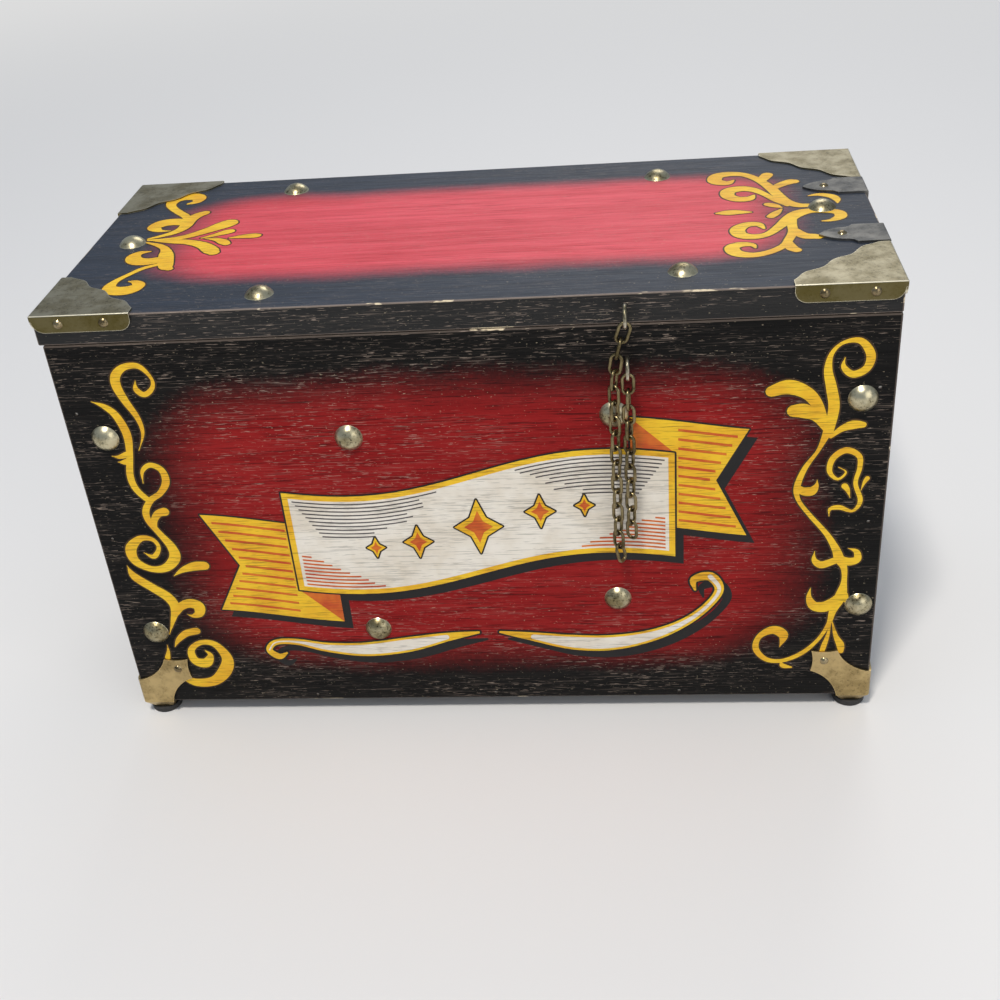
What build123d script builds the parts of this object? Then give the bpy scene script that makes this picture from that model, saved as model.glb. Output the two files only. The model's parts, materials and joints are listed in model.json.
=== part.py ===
from build123d import *
import os
from math import cos, pi, radians, sin

# A small wooden box for shoe-shine things: butt-jointed boards, a lid hinged at its right-hand end,
# pressed brass caps and feet on the corners, dome-headed studs and a chain that stops the lid.
# Millimetres. X runs along the box, Y from its front to its back, Z up from the floor.
# The boards are laid out about the middle of the body; save() then moves every piece back by
# body_shift, so that the origin is on the floor under the middle of the whole part, chain included.

# ---------------------------------------------------------------- boards
BODY_LENGTH = 341.5
BODY_DEPTH = 152.4
BODY_HEIGHT = 190.5
WALL = 12.7
BOTTOM_THICKNESS = 6.4
LID_THICKNESS = 12.7
LID_OVERHANG = 1.5          # the lid stands out past the body at its free, left-hand end
LID_GAP = 0.2               # seam between the body and the closed lid
ARRIS = 1.0                 # rounding of the outer edges of the boards
LID_ARRIS = 0.8

# ---------------------------------------------------------------- nails, brads and studs
HOLE_FIT = 0.02             # how much wider than its shank a hole is, on the radius
STUD_RADIUS = 6.0
STUD_DOME = 3.5
STUD_SHANK_RADIUS = 1.0
STUD_SHANK_LENGTH = 9.0
NAIL_RADIUS = 2.0
NAIL_DOME = 1.1
NAIL_SHANK_RADIUS = 0.65
NAIL_SHANK_LENGTH = 8.0
BRAD_RADIUS = 0.7
BRAD_LENGTH = 28.0
BRAD_SET = 0.6              # how deep a brad's head is punched below the surface
BRAD_ROWS = 3

# ---------------------------------------------------------------- corner caps of the lid
CAP_SHEET = 0.8
CAP_LEG_X = 41.2
CAP_LEG_Y = 38.2
CAP_NOSE = 4.0              # straight end of each leg, before the scalloped edge starts
CAP_WAVE = 0.9
CAP_LOBES = 3
CAP_FLANGE = 6.8
CAP_FLANGE_ROUND = 5.0
CAP_FOLD = 0.6              # outside rounding of the folded edges
CAP_NAIL_INSETS = (11.0, 30.0)
CAP_NAIL_DROP = 3.2

# ---------------------------------------------------------------- corner feet
FOOT_SHEET = 0.9
FOOT_REACH = 26.5           # tip of an arm, across and up from the box's corner
FOOT_SHOULDER = 15.0        # the arm's two outer points, measured the same way
FOOT_ROOT = 14.2            # height of the arm at the box's edge
FOOT_NOTCH = 0.8
FOOT_NAIL = 20.6
FOOT_DIP = 1.8              # how far the arms' edges curve in from straight
TOE_HEIGHT = 4.5
TOE_INSET = 1.8
TOE_BASE = 11.0
TOE_ROUND = 2.5
PAD_HEIGHT = 3.0
PAD_RADIUS = 7.2
PAD_ROUND = 0.5

# ---------------------------------------------------------------- strap hinges
STRAP_TO_CAP = 1.0          # between a strap and the lid's corner cap beside it
LEAF_SHEET = 1.0
LEAF_WIDTH = 18.0
LEAF_LENGTH = 26.3
LEAF_SHOULDER = 12.0        # where the strap starts to narrow
LEAF_NECK = 16.5
LEAF_NECK_WIDTH = 12.4
LEAF_DIP = 0.6              # how far the shoulders' curves go in and the point's curves go out
LEAF_SWELL = 1.0
LEAF_NAIL = 17.0
LEAF_NAIL_PAIR = 7.0        # height of the pair of nails below the pin
LEAF_NAIL_SPREAD = 5.0
PIN_RADIUS = 1.25
PIN_FIT = 0.05
PIN_HEAD = 0.6
PIN_HEAD_RADIUS = 1.9
KNUCKLE_GAP = 0.3
HINGE_CLEARANCE = 0.2       # between the barrel and the wood

# ---------------------------------------------------------------- screw eyes and chain
EYE_WIRE = 1.6
EYE_DIAMETER = 10.0
EYE_STANDOFF = 7.5          # from the wood to the middle of the ring
EYE_SCREW = 9.0
LID_EYE_SETBACK = 105.5     # the two eyes, from the hinged end of the body
BODY_EYE_SETBACK = 105.0
BODY_EYE_DROP = 15.5        # below the top of the body
LINK_WIRE = 1.4
LINK_LENGTH = 9.8
LINK_WIDTH = 5.8
LINK_PLAY = 0.1
LID_STRAND_LINKS = 16
BODY_STRAND_LINKS = 11
STRAND_LEAN = 18.0          # degrees the lid strand's first link swings out past the body's eye
STRAND_LEAN_LINKS = 4       # links over which that lean dies away
LAST_LINK_LEAN = -12.0      # the bottom link hangs back towards the body's strand
CHAIN_TWIST = 35.0          # degrees the chain turns round its own line below the eye
TWIST_LINKS = 4             # links over which it does so

# ---------------------------------------------------------------- places of the studs
# across as a share of half the body's length, up as a share of the body's height
FRONT_STUD_SHARES = (
    (-0.907, 0.770), (-0.296, 0.753), (0.350, 0.790), (0.926, 0.809),
    (-0.915, 0.222), (-0.298, 0.223), (0.344, 0.301), (0.956, 0.271),
)
# along as a share of half the body's length, back as a share of half its depth
LID_STUD_SHARES = (
    (-0.898, -0.008), (-0.531, 0.773), (-0.475, -0.819), (0.476, 0.693), (0.517, -0.759), (0.878, 0.058),
)

# ---------------------------------------------------------------- worked out from the above
body_bottom = PAD_HEIGHT + TOE_HEIGHT
body_top = body_bottom + BODY_HEIGHT
lid_bottom = body_top + LID_GAP
lid_top = lid_bottom + LID_THICKNESS
lid_length = BODY_LENGTH + LID_OVERHANG
lid_middle_x = -LID_OVERHANG / 2
right_x = BODY_LENGTH / 2
front_y = -BODY_DEPTH / 2
end_panel_depth = BODY_DEPTH - 2 * WALL
front_reach = EYE_STANDOFF + EYE_DIAMETER / 2
back_reach = CAP_SHEET + NAIL_DOME
body_shift = (front_reach - back_reach) / 2

hinge_front_y = front_y + CAP_LEG_Y + STRAP_TO_CAP + LEAF_WIDTH / 2
hinge_rear_y = -hinge_front_y
knuckle_radius = PIN_RADIUS + PIN_FIT + LEAF_SHEET
hinge_x = right_x + knuckle_radius + HINGE_CLEARANCE
hinge_z = body_top + LID_GAP / 2
knuckle_length = (LEAF_WIDTH - 2 * KNUCKLE_GAP) / 3

eye_ring_radius = (EYE_DIAMETER - EYE_WIRE) / 2
eye_y = front_y - EYE_STANDOFF
lid_eye_x = right_x - LID_EYE_SETBACK
lid_eye_z = lid_bottom + LID_THICKNESS / 2
body_eye_x = right_x - BODY_EYE_SETBACK
body_eye_z = body_top - BODY_EYE_DROP
link_pitch = LINK_LENGTH - 2 * LINK_WIRE - LINK_PLAY
link_bend = (LINK_WIDTH - LINK_WIRE) / 2
link_straight = LINK_LENGTH - LINK_WIDTH
first_link_drop = (LINK_LENGTH - 2 * LINK_WIRE - EYE_WIRE) / 2 - LINK_PLAY


def seat_on_front(x, z):
    """Outward-facing plane on the front of the box or lid."""
    return Plane(origin=(x, front_y, z), x_dir=(1, 0, 0), z_dir=(0, -1, 0))


def seat_on_back(x, z):
    return Plane(origin=(x, -front_y, z), x_dir=(-1, 0, 0), z_dir=(0, 1, 0))


def seat_on_end(x, y, z):
    """Outward-facing plane on an end: the left-hand one where x is negative."""
    side = 1 if x > 0 else -1
    return Plane(origin=(x, y, z), x_dir=(0, side, 0), z_dir=(side, 0, 0))


def seat_on_top(x, y, z):
    return Plane(origin=(x, y, z), x_dir=(1, 0, 0), z_dir=(0, 0, 1))


def raised(seats, height):
    """The same seats, lifted off the wood by a sheet of metal."""
    return [seat.offset(height) for seat in seats]


def group(piece, seats):
    """Copies of a piece on every seat, as separate solids of one part."""
    with BuildPart() as copies:
        with Locations(*seats):
            add(piece)
    return copies.part


def save(part, label):
    placed = part.moved(Location((0, body_shift, 0)))
    placed.label = label
    export_step(placed, f"parts/{label}.step")


os.makedirs("parts", exist_ok=True)

# ---------------------------------------------------------------- the loose hardware, at the origin
def dome_nail(head_radius, dome, shank_radius, shank_length):
    """A nail whose domed head sits on Z = 0, with its pointed shank below."""
    point = 2 * shank_radius
    with BuildPart() as nail:
        with BuildSketch(Plane.XZ):
            with BuildLine():
                Line((0, dome), (0, -shank_length))
                Line((0, -shank_length), (shank_radius, point - shank_length))
                Line((shank_radius, point - shank_length), (shank_radius, 0))
                Line((shank_radius, 0), (head_radius, 0))
                RadiusArc((head_radius, 0), (0, dome), -(head_radius**2 + dome**2) / (2 * dome))
            make_face()
        revolve(axis=Axis.Z)
    return nail.part


stud = dome_nail(STUD_RADIUS, STUD_DOME, STUD_SHANK_RADIUS, STUD_SHANK_LENGTH)
nail = dome_nail(NAIL_RADIUS, NAIL_DOME, NAIL_SHANK_RADIUS, NAIL_SHANK_LENGTH)

with BuildPart() as brad:
    with BuildSketch(Plane.XY.offset(-BRAD_SET)):
        Circle(BRAD_RADIUS)
    extrude(amount=-BRAD_LENGTH)

# ---------------------------------------------------------------- where everything is driven in
front_stud_seats = []
for across, up in FRONT_STUD_SHARES:
    front_stud_seats.append(seat_on_front(across * right_x, body_bottom + up * BODY_HEIGHT))
lid_stud_seats = []
for along, back in LID_STUD_SHARES:
    lid_stud_seats.append(seat_on_top(along * right_x, -back * front_y, lid_top))

brad_heights = [body_bottom + BODY_HEIGHT * (row + 0.5) / BRAD_ROWS for row in range(BRAD_ROWS)]
brad_x = right_x - WALL / 2
front_brad_seats = [seat_on_front(x, z) for x in (-brad_x, brad_x) for z in brad_heights]
back_brad_seats = [seat_on_back(x, z) for x in (-brad_x, brad_x) for z in brad_heights]
bottom_brad_z = body_bottom + BOTTOM_THICKNESS / 2
bottom_brad_x = [BODY_LENGTH * step / 4 for step in (-1, 0, 1)]
bottom_front_seats = [seat_on_front(x, bottom_brad_z) for x in bottom_brad_x]
bottom_back_seats = [seat_on_back(x, bottom_brad_z) for x in bottom_brad_x]

lid_left_x = right_x - lid_length
cap_nail_z = lid_top - CAP_NAIL_DROP
lid_cap_nail_seats = []
for inset in CAP_NAIL_INSETS:
    for x in (lid_left_x + inset, right_x - inset):
        lid_cap_nail_seats.append(seat_on_front(x, cap_nail_z))
        lid_cap_nail_seats.append(seat_on_back(x, cap_nail_z))
    for y in (front_y + inset, -front_y - inset):
        lid_cap_nail_seats.append(seat_on_end(lid_left_x, y, cap_nail_z))
        lid_cap_nail_seats.append(seat_on_end(right_x, y, cap_nail_z))

foot_nail_z = body_bottom + FOOT_NAIL
foot_nail_x = right_x - FOOT_NAIL
foot_nail_y = -front_y - FOOT_NAIL
foot_front_seats = [seat_on_front(x, foot_nail_z) for x in (-foot_nail_x, foot_nail_x)]
foot_back_seats = [seat_on_back(x, foot_nail_z) for x in (-foot_nail_x, foot_nail_x)]
foot_left_seats = [seat_on_end(-right_x, y, foot_nail_z) for y in (-foot_nail_y, foot_nail_y)]
foot_right_seats = [seat_on_end(right_x, y, foot_nail_z) for y in (-foot_nail_y, foot_nail_y)]

hinge_lid_seats = []
hinge_body_seats = []
for hinge_y in (hinge_front_y, hinge_rear_y):
    hinge_lid_seats.append(seat_on_top(right_x - LEAF_NAIL, hinge_y, lid_top))
    hinge_body_seats.append(seat_on_end(right_x, hinge_y, hinge_z - LEAF_NAIL))
    for side in (-LEAF_NAIL_SPREAD, LEAF_NAIL_SPREAD):
        hinge_body_seats.append(seat_on_end(right_x, hinge_y + side, hinge_z - LEAF_NAIL_PAIR))

lid_eye_seat = seat_on_front(lid_eye_x, lid_eye_z)
body_eye_seat = seat_on_front(body_eye_x, body_eye_z)


def nail_holes(seats):
    """Holes for small nails that pass through sheet metal into the wood."""
    with Locations(*seats):
        Hole(NAIL_SHANK_RADIUS + HOLE_FIT, depth=NAIL_SHANK_LENGTH)


def brad_holes(seats):
    """Each brad's hole, with its head punched below the filled surface."""
    with Locations(*[seat.offset(-BRAD_SET) for seat in seats]):
        Hole(BRAD_RADIUS + HOLE_FIT, depth=BRAD_LENGTH)


# ---------------------------------------------------------------- the body's boards
def long_panel(label, side, stud_seats, nail_seats, brad_seats, eye_seats):
    """The front (side -1) or back (side 1) board, as long as the body."""
    with BuildPart() as panel:
        with BuildSketch(Plane.XY.offset(body_bottom)):
            with Locations((0, side * (BODY_DEPTH - WALL) / 2)):
                Rectangle(BODY_LENGTH, WALL)
        extrude(amount=BODY_HEIGHT)
        outer = panel.faces().sort_by(Axis.Y)[0 if side < 0 else -1]
        ends = panel.faces().sort_by(Axis.X)[0].edges() + panel.faces().sort_by(Axis.X)[-1].edges()
        fillet(outer.edges() + ends.filter_by(Axis.Y), radius=ARRIS)
        nail_holes(nail_seats)
        brad_holes(brad_seats)
        if stud_seats:
            with Locations(*stud_seats):
                Hole(STUD_SHANK_RADIUS + HOLE_FIT, depth=STUD_SHANK_LENGTH)
        if eye_seats:
            with Locations(*eye_seats):
                Hole(EYE_WIRE / 2 + HOLE_FIT, depth=EYE_SCREW)
    save(panel.part, label)


def end_panel(label, side, nail_seats):
    """The board between the long ones, on the left (side -1) or right (side 1)."""
    with BuildPart() as panel:
        with BuildSketch(Plane.XY.offset(body_bottom)):
            with Locations((side * (BODY_LENGTH - WALL) / 2, 0)):
                Rectangle(WALL, end_panel_depth)
        extrude(amount=BODY_HEIGHT)
        outer = panel.faces().sort_by(Axis.X)[0 if side < 0 else -1]
        fillet(outer.edges().filter_by(Axis.Y), radius=ARRIS)
        nail_holes(nail_seats)
        brad_holes(front_brad_seats + back_brad_seats)
    save(panel.part, label)


long_panel("front_panel", -1, front_stud_seats, foot_front_seats,
           front_brad_seats + bottom_front_seats, [body_eye_seat])
long_panel("back_panel", 1, [], foot_back_seats, back_brad_seats + bottom_back_seats, [])
end_panel("left_end_panel", -1, foot_left_seats)
end_panel("right_end_panel", 1, foot_right_seats + hinge_body_seats)

with BuildPart() as bottom_panel:
    with BuildSketch(Plane.XY.offset(body_bottom)):
        Rectangle(BODY_LENGTH - 2 * WALL, end_panel_depth)
    extrude(amount=BOTTOM_THICKNESS)
    brad_holes(bottom_front_seats + bottom_back_seats)
save(bottom_panel.part, "bottom_panel")

save(group(brad.part, front_brad_seats + back_brad_seats), "wall_brads")
save(group(brad.part, bottom_front_seats + bottom_back_seats), "bottom_brads")
save(group(stud, front_stud_seats), "front_studs")

# ---------------------------------------------------------------- the lid's board
with BuildPart() as lid_board:
    with BuildSketch(Plane.XY.offset(lid_bottom)):
        with Locations((lid_middle_x, 0)):
            Rectangle(lid_length, BODY_DEPTH)
    extrude(amount=LID_THICKNESS)
    fillet(lid_board.edges(), radius=LID_ARRIS)
    nail_holes(lid_cap_nail_seats + hinge_lid_seats)
    with Locations(*lid_stud_seats):
        Hole(STUD_SHANK_RADIUS + HOLE_FIT, depth=STUD_SHANK_LENGTH)
    with Locations(lid_eye_seat):
        Hole(EYE_WIRE / 2 + HOLE_FIT, depth=EYE_SCREW)
save(lid_board.part, "lid_board")
save(group(stud, lid_stud_seats), "lid_studs")


# ---------------------------------------------------------------- the lid's corner caps
def scalloped_edge():
    """The cap's inner edge, in shallow lobes between the ends of its two legs."""
    start = Vector(CAP_LEG_X, CAP_NOSE)
    end = Vector(CAP_NOSE, CAP_LEG_Y)
    across = (end - start).normalized().rotate(Axis.Z, -90)
    steps = 4 * CAP_LOBES
    points = []
    for step in range(steps + 1):
        along = step / steps
        swell = CAP_WAVE * (1 - cos(2 * pi * CAP_LOBES * along))
        points.append(start + (end - start) * along + across * swell)
    return points


# built round a corner at the origin, with the lid's top at Z = 0 and the lid at X > 0, Y > 0
with BuildPart() as corner_cap:
    with BuildSketch():
        with BuildLine():
            Polyline((CAP_NOSE, CAP_LEG_Y), (-CAP_SHEET, CAP_LEG_Y), (-CAP_SHEET, -CAP_SHEET),
                     (CAP_LEG_X, -CAP_SHEET), (CAP_LEG_X, CAP_NOSE))
            Spline(*scalloped_edge())
        make_face()
    extrude(amount=CAP_SHEET)
    with BuildSketch(Plane.XZ) as front_flange:
        with Locations((CAP_LEG_X / 2, -CAP_FLANGE / 2)):
            Rectangle(CAP_LEG_X, CAP_FLANGE)
        fillet(front_flange.vertices().group_by(Axis.Y)[0], radius=CAP_FLANGE_ROUND)
    extrude(amount=CAP_SHEET)
    with BuildSketch(Plane.YZ) as side_flange:
        with Locations((CAP_LEG_Y / 2, -CAP_FLANGE / 2)):
            Rectangle(CAP_LEG_Y, CAP_FLANGE)
        fillet(side_flange.vertices().group_by(Axis.Y)[0], radius=CAP_FLANGE_ROUND)
    extrude(amount=-CAP_SHEET)
    # the little web that closes the fold between the two flanges
    with BuildSketch(Plane.XY.offset(-CAP_FLANGE + CAP_FLANGE_ROUND)):
        with Locations((-CAP_SHEET / 2, -CAP_SHEET / 2)):
            Rectangle(CAP_SHEET, CAP_SHEET)
    extrude(amount=CAP_FLANGE - CAP_FLANGE_ROUND)
    top_edges = corner_cap.edges().group_by(Axis.Z)[-1].filter_by(GeomType.LINE)
    folds = [
        top_edges.filter_by(Axis.X).sort_by(Axis.Y)[0],
        top_edges.filter_by(Axis.Y).sort_by(Axis.X)[0],
        corner_cap.edges().filter_by(Axis.Z).sort_by(lambda edge: edge.center().X + edge.center().Y)[0],
    ]
    fillet(folds, radius=CAP_FOLD)


def at_corner(piece, left, front, x, y, z):
    """A corner piece turned and mirrored onto one of the four corners."""
    placed = piece
    if not left:
        placed = mirror(placed, about=Plane.YZ)
    if not front:
        placed = mirror(placed, about=Plane.XZ)
    return group(placed, [Location((x, y, z))])


def corner_name(stem, left, front):
    return f"{stem}_{'front' if front else 'back'}_{'left' if left else 'right'}"


cap_holes = []
for inset in CAP_NAIL_INSETS:
    cap_holes.append(Plane(origin=(inset, -CAP_SHEET, -CAP_NAIL_DROP), z_dir=(0, -1, 0)))
    cap_holes.append(Plane(origin=(-CAP_SHEET, inset, -CAP_NAIL_DROP), z_dir=(-1, 0, 0)))
with BuildPart() as pierced_cap:
    add(corner_cap.part)
    with Locations(*cap_holes):
        Hole(NAIL_SHANK_RADIUS + HOLE_FIT, depth=2 * CAP_SHEET)

corners = [(left, front) for front in (True, False) for left in (True, False)]
for left, front in corners:
    corner_x = lid_left_x if left else right_x
    corner_y = front_y if front else -front_y
    cap = at_corner(pierced_cap.part, left, front, corner_x, corner_y, lid_top)
    save(cap, corner_name("lid_cap", left, front))
save(group(nail, raised(lid_cap_nail_seats, CAP_SHEET)), "lid_cap_nails")


# ---------------------------------------------------------------- the corner feet
def foot_arm():
    """Outline of one arm: X away from the box's edge, Y up from its bottom."""
    outer = FOOT_REACH
    inner = FOOT_SHOULDER
    waist = (FOOT_ROOT + inner) / 2
    dip_out = FOOT_DIP * 2
    with BuildLine() as outline:
        Line((-FOOT_SHEET, 0), (-FOOT_SHEET, FOOT_ROOT))
        Line((-FOOT_SHEET, FOOT_ROOT), (0, FOOT_ROOT))
        ThreePointArc((0, FOOT_ROOT), (waist / 2 + dip_out / 2, waist + dip_out), (inner, outer))
        ThreePointArc((inner, outer), ((inner + outer) / 2, outer - FOOT_NOTCH), (outer, outer))
        ThreePointArc((outer, outer), (outer - FOOT_NOTCH, (inner + outer) / 2), (outer, inner))
        ThreePointArc((outer, inner), (waist + dip_out, waist / 2 + dip_out / 2), (FOOT_ROOT, 0))
        Line((FOOT_ROOT, 0), (-FOOT_SHEET, 0))
    return outline.line


# built round a corner at the origin, with the body's bottom at Z = 0 and the body at X > 0, Y > 0
with BuildPart() as arms_reach:
    for face, depth in ((Plane.XZ, -ARRIS), (Plane.YZ, ARRIS)):
        with BuildSketch(face):
            add(foot_arm())
            make_face()
        extrude(amount=depth)
        with BuildSketch(face):
            add(foot_arm())
            make_face()
        extrude(amount=-depth / ARRIS * FOOT_SHEET)

toe_wall = FOOT_ROOT + FOOT_SHEET
toe_middle = (FOOT_ROOT - FOOT_SHEET) / 2
toe_base_middle = TOE_INSET + TOE_BASE / 2
with BuildPart() as corner_foot:
    with BuildSketch() as angle:
        with BuildLine():
            Polyline((-FOOT_SHEET, -FOOT_SHEET), (FOOT_REACH, -FOOT_SHEET), (FOOT_REACH, 0), (0, 0),
                     (0, FOOT_REACH), (-FOOT_SHEET, FOOT_REACH), close=True)
        make_face()
        by_corner = angle.vertices().sort_by(lambda vertex: vertex.X + vertex.Y)
        fillet(by_corner[0], radius=ARRIS + FOOT_SHEET)
        fillet(angle.vertices().sort_by_distance((0, 0))[0], radius=ARRIS)
    extrude(amount=FOOT_REACH)
    add(arms_reach.part, mode=Mode.INTERSECT)
    # the hollow toe under the box's corner
    with BuildSketch():
        with Locations((toe_middle, toe_middle)):
            RectangleRounded(toe_wall, toe_wall, ARRIS + FOOT_SHEET)
    with BuildSketch(Plane.XY.offset(-TOE_HEIGHT)):
        with Locations((toe_base_middle, toe_base_middle)):
            RectangleRounded(TOE_BASE, TOE_BASE, TOE_ROUND)
    loft()
    with BuildSketch():
        with Locations((toe_middle, toe_middle)):
            RectangleRounded(toe_wall - 2 * FOOT_SHEET, toe_wall - 2 * FOOT_SHEET, ARRIS)
    with BuildSketch(Plane.XY.offset(FOOT_SHEET - TOE_HEIGHT)):
        with Locations((toe_base_middle, toe_base_middle)):
            RectangleRounded(TOE_BASE - FOOT_SHEET, TOE_BASE - FOOT_SHEET, TOE_ROUND - FOOT_SHEET / 2)
    loft(mode=Mode.SUBTRACT)
    foot_holes = [
        Plane(origin=(FOOT_NAIL, -FOOT_SHEET, FOOT_NAIL), z_dir=(0, -1, 0)),
        Plane(origin=(-FOOT_SHEET, FOOT_NAIL, FOOT_NAIL), z_dir=(-1, 0, 0)),
    ]
    with Locations(*foot_holes):
        Hole(NAIL_SHANK_RADIUS + HOLE_FIT, depth=2 * FOOT_SHEET)

with BuildPart() as foot_pad:
    with BuildSketch(Plane.XY.offset(-TOE_HEIGHT - PAD_HEIGHT)):
        with Locations((toe_base_middle, toe_base_middle)):
            Circle(PAD_RADIUS)
    extrude(amount=PAD_HEIGHT)
    fillet(foot_pad.edges(), radius=PAD_ROUND)

for left, front in corners:
    corner_x = -right_x if left else right_x
    corner_y = front_y if front else -front_y
    foot = at_corner(corner_foot.part, left, front, corner_x, corner_y, body_bottom)
    save(foot, corner_name("foot", left, front))
    pad = at_corner(foot_pad.part, left, front, corner_x, corner_y, body_bottom)
    save(pad, corner_name("foot_pad", left, front))
foot_nail_seats = foot_front_seats + foot_back_seats + foot_left_seats + foot_right_seats
save(group(nail, raised(foot_nail_seats, FOOT_SHEET)), "foot_nails")


# ---------------------------------------------------------------- the strap hinges
def strap_outline(reach):
    """A pointed strap along +X from the box's end, with ogee shoulders."""
    half = LEAF_WIDTH / 2
    neck = LEAF_NECK_WIDTH / 2
    dip = ((LEAF_SHOULDER + LEAF_NECK) / 2 - LEAF_DIP, (half + neck) / 2 - LEAF_DIP)
    swell = ((LEAF_NECK + reach) / 2 + LEAF_DIP, neck / 2 + LEAF_SWELL)
    with BuildLine() as outline:
        for side in (-1, 1):
            Line((0, side * half), (LEAF_SHOULDER, side * half))
            ThreePointArc((LEAF_SHOULDER, side * half), (dip[0], side * dip[1]),
                          (LEAF_NECK, side * neck))
            ThreePointArc((LEAF_NECK, side * neck), (swell[0], side * swell[1]), (reach, 0))
        Line((0, -half), (0, half))
    return outline.line


def knuckles(middles):
    """Barrel pieces round the pin, which runs along Y through the origin."""
    with Locations(*[(0, middle, 0) for middle in middles]):
        Cylinder(knuckle_radius, knuckle_length, rotation=(90, 0, 0))


def pin_bore():
    Cylinder(PIN_RADIUS + PIN_FIT, 2 * LEAF_WIDTH, rotation=(90, 0, 0), mode=Mode.SUBTRACT)


end_x = right_x - hinge_x                     # the box's end, seen from the pin
outer_middles = (-knuckle_length - KNUCKLE_GAP, knuckle_length + KNUCKLE_GAP)
cut_back = knuckle_radius + KNUCKLE_GAP
lid_rise = lid_top - hinge_z

# both leaves are built round a pin at the origin
with BuildPart() as lid_leaf:
    strap_face = Plane(origin=(end_x, 0, lid_rise), x_dir=(-1, 0, 0), z_dir=(0, 0, 1))
    with BuildSketch(strap_face):
        add(strap_outline(LEAF_LENGTH))
        make_face()
    extrude(amount=LEAF_SHEET)
    with BuildSketch(Plane.YZ.offset(end_x)):
        with Locations((0, (cut_back + lid_rise + LEAF_SHEET) / 2)):
            Rectangle(LEAF_WIDTH, lid_rise + LEAF_SHEET - cut_back)
        with Locations((0, cut_back / 2)):
            Rectangle(knuckle_length, cut_back)
    extrude(amount=LEAF_SHEET)
    bend = lid_leaf.edges().filter_by(Axis.Y).sort_by(lambda edge: edge.center().X + edge.center().Z)[-1]
    fillet(bend, radius=CAP_FOLD)
    knuckles([0])
    pin_bore()
    with Locations(strap_face.offset(LEAF_SHEET) * Location((LEAF_NAIL, 0, 0))):
        Hole(NAIL_SHANK_RADIUS + HOLE_FIT, depth=2 * LEAF_SHEET)

with BuildPart() as body_leaf:
    leaf_face = Plane(origin=(end_x, 0, 0), x_dir=(0, 0, -1), z_dir=(1, 0, 0))
    with BuildSketch(leaf_face):
        add(strap_outline(LEAF_LENGTH))
        make_face()
        with Locations((cut_back / 2, 0)):
            Rectangle(cut_back, knuckle_length + 2 * KNUCKLE_GAP, mode=Mode.SUBTRACT)
    extrude(amount=LEAF_SHEET)
    knuckles(outer_middles)
    pin_bore()
    leaf_holes = [leaf_face.offset(LEAF_SHEET) * Location((LEAF_NAIL, 0, 0))]
    for side in (-LEAF_NAIL_SPREAD, LEAF_NAIL_SPREAD):
        leaf_holes.append(leaf_face.offset(LEAF_SHEET) * Location((LEAF_NAIL_PAIR, side, 0)))
    with Locations(*leaf_holes):
        Hole(NAIL_SHANK_RADIUS + HOLE_FIT, depth=2 * LEAF_SHEET)

with BuildPart() as hinge_pin:
    pin_end = (3 * knuckle_length + 2 * KNUCKLE_GAP) / 2
    with BuildSketch(Plane.XZ.offset(-pin_end)):
        Circle(PIN_RADIUS)
    extrude(amount=2 * pin_end)
    for start in (-pin_end - PIN_HEAD, pin_end):
        with BuildSketch(Plane.XZ.offset(start)):
            Circle(PIN_HEAD_RADIUS)
        extrude(amount=PIN_HEAD)

for name, hinge_y in (("front", hinge_front_y), ("rear", hinge_rear_y)):
    pin_place = [Location((hinge_x, hinge_y, hinge_z))]
    save(group(lid_leaf.part, pin_place), f"hinge_lid_leaf_{name}")
    save(group(body_leaf.part, pin_place), f"hinge_body_leaf_{name}")
    save(group(hinge_pin.part, pin_place), f"hinge_pin_{name}")
save(group(nail, raised(hinge_lid_seats, LEAF_SHEET)), "hinge_lid_nails")
save(group(nail, raised(hinge_body_seats, LEAF_SHEET)), "hinge_body_nails")

# ---------------------------------------------------------------- the screw eyes
# built with the ring's middle at the origin and the screw running back along Y
with BuildPart() as screw_eye:
    Torus(eye_ring_radius, EYE_WIRE / 2, rotation=(0, 90, 0))
    with BuildSketch(Plane.XZ.offset(-eye_ring_radius)):
        Circle(EYE_WIRE / 2)
    extrude(amount=-(EYE_STANDOFF - eye_ring_radius + EYE_SCREW))
save(group(screw_eye.part, [Location((lid_eye_x, eye_y, lid_eye_z))]), "lid_eye")
save(group(screw_eye.part, [Location((body_eye_x, eye_y, body_eye_z))]), "body_eye")

# ---------------------------------------------------------------- the chain
with BuildPart() as link:
    half = link_straight / 2
    with BuildLine() as loop:
        Line((-link_bend, 0, -half), (-link_bend, 0, half))
        ThreePointArc((-link_bend, 0, half), (0, 0, half + link_bend), (link_bend, 0, half))
        Line((link_bend, 0, half), (link_bend, 0, -half))
        ThreePointArc((link_bend, 0, -half), (0, 0, -half - link_bend), (-link_bend, 0, -half))
    with BuildSketch(Plane(origin=(-link_bend, 0, 0), z_dir=(0, 0, 1))):
        Circle(LINK_WIRE / 2)
    sweep(path=loop.line)


def strand(label, eye_x, ring_z, leans):
    """Links hung one below another from the bottom of an eye's ring, each a quarter turn on."""
    x = eye_x
    z = ring_z - eye_ring_radius
    places = []
    for number, lean in enumerate(leans):
        above = first_link_drop if number == 0 else link_pitch / 2
        turn = 90 * (number % 2) - CHAIN_TWIST * min(1, number / TWIST_LINKS)
        x -= above * sin(radians(lean))
        z -= above * cos(radians(lean))
        places.append(Location((x, eye_y, z), (0, lean, 0)) * Location((0, 0, 0), (0, 0, turn)))
        x -= link_pitch / 2 * sin(radians(lean))
        z -= link_pitch / 2 * cos(radians(lean))
    save(group(link.part, places), label)


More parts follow.
